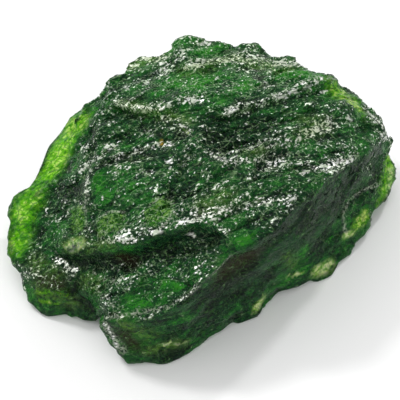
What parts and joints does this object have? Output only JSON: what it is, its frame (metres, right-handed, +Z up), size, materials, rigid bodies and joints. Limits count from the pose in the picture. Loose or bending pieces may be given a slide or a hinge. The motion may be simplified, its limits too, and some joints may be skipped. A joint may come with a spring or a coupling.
{
  "type": "rough crystal of chrome diopside",
  "caption": "Rough, broken, dark green see-through crystal with splintered ledges and thin bright edges, lying on its flattest break.",
  "frame": {"origin": "under the middle of the stone's bounding box, on the surface it rests on", "axes": "+Z up from that surface, +X along the stone's longest side, +Y away from the viewer of the picture"},
  "size_m": [0.0316, 0.0272, 0.0122],
  "materials": {
    "crystal": "glossy, splintered"
  },
  "bodies": {
    "root": {"chrome_diopside_crystal": "crystal"}
  },
  "joints": []
}
